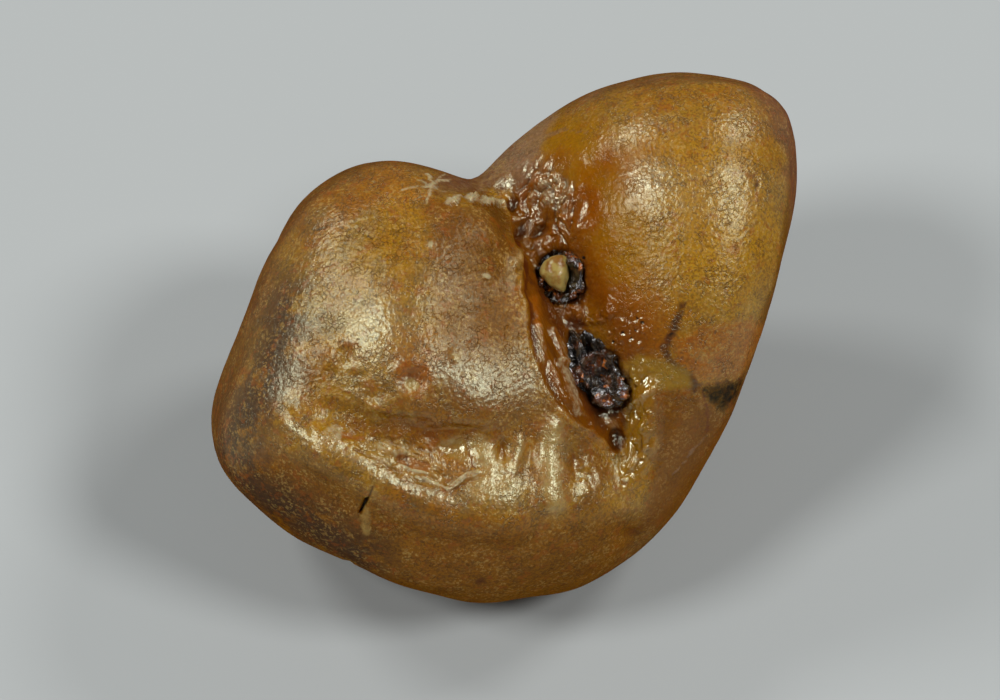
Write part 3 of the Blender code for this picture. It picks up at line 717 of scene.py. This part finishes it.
rollMarks = [
    patch([(-21, -9), (-16, -7.6), (-12, -9), (-8, -11.5), (-3, -12.8), (3, -12.8), (8, -12), (12, -13),
        (8.5, -17), (5, -21), (-6, -21), (-16, -17)], soft=2.6, umber=1, dull=0.85),
    streak([(-9, -9.8), (-9.6, -10.9), (-10.4, -12.6)], 0.9, soft=1.5, ochre=0.35),
    streak([(-9.3, -10), (-9.5, -10.6), (-9.9, -11.2)], 0.17, soft=1.5, depth=0.22, dusk=0.7),
    streak([(-9.9, -11.1), (-10.15, -11.6), (-10.35, -12)], 0.26, soft=1.5, depth=0.45, black=0.8),
    streak([(-10.35, -12), (-10.6, -12.6)], 0.18, soft=1.5, depth=0.1, dusk=0.6),
    streak([(-9.9, -11.8), (-9.8, -12.7), (-9.9, -13.4)], 0.55, depth=-0.08, folds=(0.18, 0.4), ochre=0.6),
    oval(-1.5, -17.4, 0.7, 0.45, turn=30, depth=0.05, dusk=0.7),
    oval(10, -13.9, 0.9, 0.65, depth=0.25, rust=0.6),
    oval(-11.5, -16.2, 0.5, 0.5, depth=0.3),
    oval(2.5, -14.8, 3.2, 2, soft=1.5, straw=0.35),
]


def buildStone():
    piece = evenCopy("stone", "carnelian_stone", stone["voxel"])
    guide = copyNode("stone", "guide")
    refine(piece, 0.0)
    refine(piece, 0.10, stone["detailedLines"])
    refine(piece, 0.05, stone["finestLines"])
    applyModifier(piece, "SHRINKWRAP", {"target": guide, "wrap_method": "NEAREST_SURFACEPOINT"})
    bpy.data.objects.remove(guide)
    smooth(piece, 5)
    points, normals = readPoints(piece)
    fromCleft = pathDistance(points[:, :2], stone["cleftLine"])
    fromValley = pathDistance(points[:, :2], stone["valleyLine"])
    facing = normals[:, 2]
    skin = np.maximum(ease((fromCleft - 2.5) / 3.0), ease((0.1 - facing) / 0.2))
    smoothWhere(piece, skin, stone["skinRounds"])
    domes = ease((fromCleft - 2.5) / 4.0) * ease((fromValley - 1.5) / 3.0) * ease((facing - 0.35) / 0.25)
    smoothWhere(piece, domes, stone["domeRounds"])
    points, normals = readPoints(piece)
    height, layers = markedFace(points, normals, swells)
    points = points + normals * height[:, None]
    writePoints(piece, points)
    points, normals = readPoints(piece)
    marks = cleftMarks + rightMarks + leftMarks + valleyMarks + rollMarks
    for x, y in darkDots:
        marks.append(oval(x, y, 0.2, 0.2, depth=0.08, black=0.9))
    for x, y, radius, height in drops:
        marks.append(oval(x, y, radius, radius, depth=-height, slickness=1.0))
    height, layers = markedFace(points, normals, marks)
    for size, amount in stone["waves"]:
        height += amount * cloud(points, size, 11)
    layers["back"] = 1.0 - ease((normals[:, 2] + 0.35) / 0.5)
    # painted shade: the flanks that turn away from the face get a darker brown, and less gloss
    layers["flank"] = 1.0 - ease((normals[:, 2] - 0.10) / 0.65)
    writePoints(piece, points + normals * height[:, None])
    writeLayers(piece, layers)
    shadeSmooth(piece)
    print("  triangles:", sum(len(face.vertices) - 2 for face in piece.data.polygons))
    return piece


def smoothWhere(piece, amounts, rounds):
    # takes the facets out of the skin, as far as the amount at each point says
    group = piece.vertex_groups.new(name="smoothed")
    for level in range(1, 9):
        chosen = np.flatnonzero((amounts * 8.0 + 0.5).astype(int) == level)
        group.add(chosen.tolist(), level / 8.0, "REPLACE")
    smooth(piece, rounds, vertex_group=group.name)
    piece.vertex_groups.clear()


# the way the wall under the lip is drawn out
lipLean = Matrix.Rotation(math.radians(rest["lean"]), 3, "X")
lipTurn = (lipLean @ Matrix.Rotation(math.radians(-64.5), 3, "Z")).to_euler()


def paintStone(piece):
    material, tree, place = newMaterial("carnelian skin")
    names = [attribute.name for attribute in piece.data.attributes if attribute.data_type == "FLOAT"]
    get = {name: place.layer(name) for name in names}
    shade = {name: tone(*values) for name, values in stone["tones"].items()}

    broad = place.noise(7.0, 3.0)
    patchy = place.noise(2.0, 4.0, 0.6)
    fine = place.noise(0.55, 4.0, 0.65)
    speck = place.noise(0.20, 2.0, 0.6)
    dust = place.moved((9.0, 4.0, 1.0)).noise(0.26, 2.0, 0.6)

    def ragged(name, low, high, amount):
        # a painted layer with a broken edge, or a plain one where the amount is 0
        if amount == 0.0:
            return get[name].eased(low, high)
        return (get[name] + (fine - 0.5) * amount * get[name].eased(0.0, 0.25)).eased(low, high)

    def clouded(name, amount=1.2):
        # a painted layer that comes and goes in soft clouds
        return (get[name] + (patchy - 0.5) * amount * get[name].eased(0.0, 0.3)).eased(0.15, 0.95)

    # small crescents where the stone was knocked, and fine wrinkles between them
    bend = place.noise(0.7, 3.0, 0.6, output=1).scaled(0.55)
    rings = place.moved(bend).cells(0.95)
    ringLine = (rings - 0.32).math("ABSOLUTE").eased(0.06, 0.02)
    broken = place.moved((2.0, 7.0, 3.0)).noise(0.55, 1.0).eased(0.54, 0.60)
    crescents = ringLine * broken
    crackHere = place.moved((5.0, 0.0, 2.0)).noise(1.6, 3.0, 0.65).eased(0.48, 0.62)
    cracks = place.moved(bend).cells(0.40, "DISTANCE_TO_EDGE").eased(0.10, 0.02) * crackHere
    grains = place.moved(bend.scaled(0.5)).cells(0.34, "SMOOTH_F1")
    lines = (crescents + cracks * 0.8).clamped()
    turned = place.node("ShaderNodeMapping", {"vector_type": "TEXTURE"},
                        {"Vector": place, "Rotation": lipTurn, "Scale": (3.6, 0.8, 1.0)})
    pulled = turned.noise(1.0, 5.0, 0.6)

    slick = get["wall"].math("MAXIMUM", get["slickness"]).math("MAXIMUM", get["haze"] * 0.5)
    slick = slick.math("MAXIMUM", get["amber"] * 0.85)
    satin = 1.0 - slick

    olive = place.moved((31.0, 2.0, 8.0)).noise(2.6, 4.0, 0.72)
    behind = place.moved((40.0, 9.0, 3.0)).noise(5.0, 3.0).eased(0.55, 0.68)
    bruised = place.moved((3.0, 14.0, 6.0)).noise(3.0, 4.0, 0.7)
    uneven = place.moved((17.0, 5.0, 9.0)).noise(1.8, 3.0, 0.65).eased(0.40, 0.62)
    uneven = uneven * (1.0 - get["flank"] * 0.5)
    dotted = speck.eased(0.47, 0.57) * satin.spread(0.25, 1.0) * 0.46 * (1.1 - uneven * 0.6)
    freckles = place.moved((6.0, 21.0, 4.0)).noise(0.9, 3.0, 0.7).eased(0.56, 0.64)
    specks = place.cells(0.9).eased(0.20, 0.10) * patchy.eased(0.45, 0.6)
    shade["amber"] = broad.eased(0.42, 0.60).between(shade["amber"], shade["amberPale"])

    # each tone lies over the ones before it, as far as its mask says
    colour = broad.eased(0.40, 0.60).between(shade["skin"], shade["skinPale"])
    for mask, name in (
        (patchy.eased(0.50, 0.66) * 0.50, "russet"),
        (olive.eased(0.48, 0.62) * 0.50, "olive"),
        (olive.eased(0.46, 0.34) * 0.40, "orange"),
        (get["straw"] * 0.75, "straw"),
        (clouded("brown", 0.6) * 0.80, "brown"),
        (clouded("pink") * 0.40, "pink"),
        # painted shade on the flanks that turn away from the face
        (get["flank"] * 0.82, "flank"),
        (get["back"] * patchy.eased(0.5, 0.68) * 0.8, "back"),
        (get["back"] * behind * 0.7, "backRust"),
        (get["umber"] * 0.85, "umber"),
        (get["honey"].eased(0.1, 0.9) * 0.85, "honey"),
        (get["amber"], "amber"),
        (get["haze"].eased(0.1, 0.9) * 0.9, "haze"),
        (ragged("wall", 0.1, 1.0, 0.35) * 0.9, "wall"),
        (get["streaky"] * pulled.eased(0.50, 0.66) * 0.65, "wallDark"),
        (get["streaky"] * pulled.eased(0.42, 0.32) * 0.45, "wallPale"),
        (clouded("ember") * 0.8, "ember"),
        (clouded("ginger", 0.8) * 0.8, "ginger"),
        # dark clouds along the left edge, with painted shade where the streak reaches the roll's lower left
        (get["bruise"] * bruised.eased(0.36, 0.48) * 0.92, "bruise"),
        (get["bruise"] * bruised.eased(0.37, 0.30) * 0.60, "bruisePale"),
        (clouded("mauve") * 0.75, "mauve"),
        (clouded("plum") * 0.70, "plum"),
        # the skin's own speckle
        (dust.eased(0.50, 0.60) * satin * uneven * 0.60, "dust"),
        (dotted, "speck"),
        (fine.eased(0.50, 0.64) * satin.spread(0.4, 1.0) * 0.36, "stain"),
        (freckles * satin * 0.45, "freckle"),
        (lines * satin * 0.50, "line"),
        (specks * get["umber"] * 0.5, "paleSpeck"),
    ):
        colour = colour.under(mask, shade[name])
    for name, low, high, roughness, amount, values in stone["smallMarks"]:
        colour = colour.under(ragged(name, low, high, roughness) * amount, tone(*values))

    height = (0.5 - grains) * stone["grainDepth"] * patchy.eased(0.3, 0.7).spread(0.5, 1.2)
    height = height + (speck - 0.5) * 0.03 + (fine - 0.5) * 0.05
    height = height - crescents * stone["crescentDepth"] - cracks * stone["crackDepth"]
    height = height * satin.spread(0.2, 1.0) + get["streaky"] * pulled * 0.20
    height = height + get["crumple"] * place.moved(bend).noise(0.55, 3.0, 0.6) * 0.07
    roughness = satin.spread(stone["slick"], stone["satin"]) + (fine - 0.5) * 0.16 * satin
    normal = height.relief()

    body = addShader(tree, {
        "IOR": 1.54, "Specular IOR Level": 0.0, "Roughness": 0.5, "Subsurface Weight": stone["scatter"],
        "Subsurface Radius": stone["scatterWays"], "Subsurface Scale": stone["scatterReach"],
    }, {"Base Color": colour, "Normal": normal})
    gloss = addShader(tree, {"Metallic": 1.0}, {
        "Base Color": slick.between(*stone["glossTints"]), "Roughness": roughness, "Normal": normal})
    share = slick.spread(*stone["glossShare"])
    share = share * (1.0 - get["dull"] * stone["dullLoss"]) * (1.0 - get["flank"] * stone["flankLoss"])
    share = share + get["sheen"] * fine.eased(0.3, 0.6).spread(0.5, 1.0) * stone["sheenShare"]
    finishMaterial(tree, glazed(tree, body, gloss, share))
    piece.data.materials.append(material)


print("the stone")
stonePiece = buildStone()
paintStone(stonePiece)
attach(stonePiece, "root")
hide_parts("stone")


# the crusts in the two pockets
crusts = {
    "voxel": 0.11,
    "lumps": (1.00, 1.25),          # height and size
    "sink": 1.3,                    # how far a crust dips under the stone outside its own outline
    "wander": (0.2, 0.5),           # how far that outline strays, and over what size
    "roughness": 0.10,
    "tones": {"black": (24, 19, 14), "brown": (104, 50, 14), "earth": (84, 68, 44), "glow": (190, 100, 10)},
    "upper": [(4.7, 7.1), (5.6, 7.2), (6.3, 6.2), (6.5, 4.9), (6.3, 3.9), (5.3, 3.4), (4.2, 3.5),
              (3.4, 4.2), (2.9, 5.2), (2.8, 6.2), (3.3, 6.4), (3.8, 5.6), (4.4, 5.6)],
    "lower": [(5.3, 1.2), (6.1, 1), (6.6, 0.1), (7.5, -0.1), (8.6, -0.3), (8.7, -1.1), (9, -1.9),
              (9.6, -2.3), (9.4, -3.9), (8.5, -4.9), (7.6, -4.9), (6.9, -3.9), (6.6, -3), (6, -2.5),
              (5.5, -1.6), (5.6, -0.2)],
}


def buildCrust(node, name, outline, grow):
    piece = evenCopy(node, name, crusts["voxel"])
    dropCrumbs(piece)
    smooth(piece, 4)
    points, normals = readPoints(piece)
    amount, size = crusts["lumps"]
    height = grow + amount * (folds(points, size, 21) - 0.30)
    moved = points + normals * height[:, None]
    amount, size = crusts["wander"]
    wander = np.stack([cloud(points, size, 3), cloud(points, size, 5)], axis=1)
    kept = strength(points[:, :2] + amount * wander, patch(outline))
    moved[:, 2] -= crusts["sink"] * (1.0 - kept)
    writePoints(piece, moved)
    shadeSmooth(piece)
    return piece


def paintCrust():
    material, tree, place = newMaterial("black crust")
    shade = {name: tone(*values) for name, values in crusts["tones"].items()}
    tint = place.noise(1.1, 3.0).eased(0.50, 0.64) * 0.8
    glow = place.moved((3.0, 1.0, 8.0)).noise(0.7, 3.0).eased(0.55, 0.66)
    dusty = place.moved((8.0, 2.0, 5.0)).noise(0.5, 3.0).eased(0.5, 0.62)
    colour = tint.between(shade["black"], shade["brown"]).under(dusty * 0.6, shade["earth"])
    colour = colour.under(tint * glow * 1.3, shade["glow"])
    height = place.noise(0.5, 4.0, 0.7) * 0.16
    finishMaterial(tree, addShader(
        tree, {"Roughness": crusts["roughness"], "IOR": 1.7, "Coat Weight": 1.0, "Coat Roughness": 0.05},
        {"Base Color": colour, "Normal": height.relief()}))
    return material


print("the black crusts")
crustMaterial = paintCrust()
for node, name, outline, grow in (("upper_pocket_crust", "upper_black_crust", crusts["upper"], 0.32),
                                  ("lower_pocket_crust", "lower_black_crust", crusts["lower"], 0.25)):
    crustPiece = buildCrust(node, name, outline, grow)
    crustPiece.data.materials.append(crustMaterial)
    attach(crustPiece, "root")
    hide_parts(node)

grain = {
    "voxel": 0.09,
    "middle": (4.2, 5.7),
    "tail": 0.38,                   # how much narrower its lower end is
    "turn": 22.0,
    "waves": (0.12, 0.7),           # height and size
    "roughness": 0.30,
    "tones": ((170, 146, 78), (140, 96, 36)),
}


def buildGrain():
    piece = evenCopy("lodged_grain", "pale_lodged_grain", grain["voxel"])
    smooth(piece, 6)
    points, normals = readPoints(piece)
    amount, size = grain["waves"]
    points = points + normals * (amount * cloud(points, size, 31))[:, None]
    turn = math.radians(grain["turn"])
    away = points[:, :2] - grain["middle"]
    along = away @ (-math.sin(turn), math.cos(turn))
    across = away @ (math.cos(turn), math.sin(turn))
    across *= 1.0 + grain["tail"] * np.clip(along / 1.4, -1.0, 0.6)
    points[:, 0] = grain["middle"][0] + across * math.cos(turn) - along * math.sin(turn)
    points[:, 1] = grain["middle"][1] + across * math.sin(turn) + along * math.cos(turn)
    writePoints(piece, points)
    shadeSmooth(piece)
    return piece


def paintGrain(piece):
    material, tree, place = newMaterial("pale grain")
    stain = place.noise(0.9, 3.0).eased(0.48, 0.66)
    colour = stain.between(*(tone(*values) for values in grain["tones"]))
    height = place.noise(0.3, 3.0) * 0.04
    finishMaterial(tree, addShader(
        tree, {"Roughness": grain["roughness"], "Subsurface Weight": 0.2, "Subsurface Scale": 0.0006},
        {"Base Color": colour, "Normal": height.relief()}))
    piece.data.materials.append(material)


print("the pale grain")
grainPiece = buildGrain()
paintGrain(grainPiece)
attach(grainPiece, "root")
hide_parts("lodged_grain")


studio = {
    "floorTone": tone(187, 191, 190),
    "floorReach": 3.0,
    "sky": (0.93, 0.97, 1.0, 1.0),
    "skyStrength": 0.070,
    "lampDistance": 1.40,
    "lampSize": 0.38,
    "lamps": (                      # way to each lamp, and its power
        ((-0.60, 0.36, 0.71), 4.6), ((0.60, 0.36, 0.71), 4.6),
        ((-0.60, -0.22, 0.77), 7.5), ((0.60, -0.22, 0.77), 7.5),
    ),
    "cameraReach": 0.257,
    "lens": 120.0,
}


def buildFloor():
    bpy.ops.object.select_all(action="DESELECT")
    bpy.ops.mesh.primitive_circle_add(vertices=96, radius=studio["floorReach"], fill_type="NGON")
    floor = bpy.context.object
    floor.name = "floor"
    material, tree, place = newMaterial("pale floor")
    finishMaterial(tree, addShader(
        tree, {"Base Color": studio["floorTone"], "Roughness": 0.8, "Specular IOR Level": 0.2}, {}))
    floor.data.materials.append(material)
    return floor


def buildLamps():
    middle = faceOrigin * mm
    for number, (way, power) in enumerate(studio["lamps"]):
        way = np.array(way) / np.linalg.norm(way)
        light = bpy.data.lights.new("lamp %d" % (number + 1), "AREA")
        light.shape = "DISK"
        light.size = studio["lampSize"]
        light.energy = power
        lamp = bpy.data.objects.new(light.name, light)
        bpy.context.scene.collection.objects.link(lamp)
        lamp.location = (middle + way * studio["lampDistance"]).tolist()
        lamp.rotation_euler = Vector(way.tolist()).to_track_quat("Z", "Y").to_euler()


def buildSky():
    world = bpy.data.worlds.new("studio")
    world.use_nodes = True
    background = world.node_tree.nodes["Background"]
    background.inputs["Color"].default_value = studio["sky"]
    background.inputs["Strength"].default_value = studio["skyStrength"]
    bpy.context.scene.world = world


def buildCamera():
    lens = bpy.data.cameras.new("camera")
    lens.lens = studio["lens"]
    lens.clip_start = 0.01
    camera = bpy.data.objects.new("camera", lens)
    bpy.context.scene.collection.objects.link(camera)
    back = leanMatrix @ np.array((0.0, 0.0, 1.0))
    camera.location = (faceOrigin * mm + back * studio["cameraReach"]).tolist()
    camera.rotation_euler = (math.radians(rest["lean"]), 0.0, 0.0)
    bpy.context.scene.camera = camera


print("floor, lamps and camera")
buildFloor()
buildLamps()
buildSky()
buildCamera()
bpy.context.scene.view_settings.view_transform = "Standard"
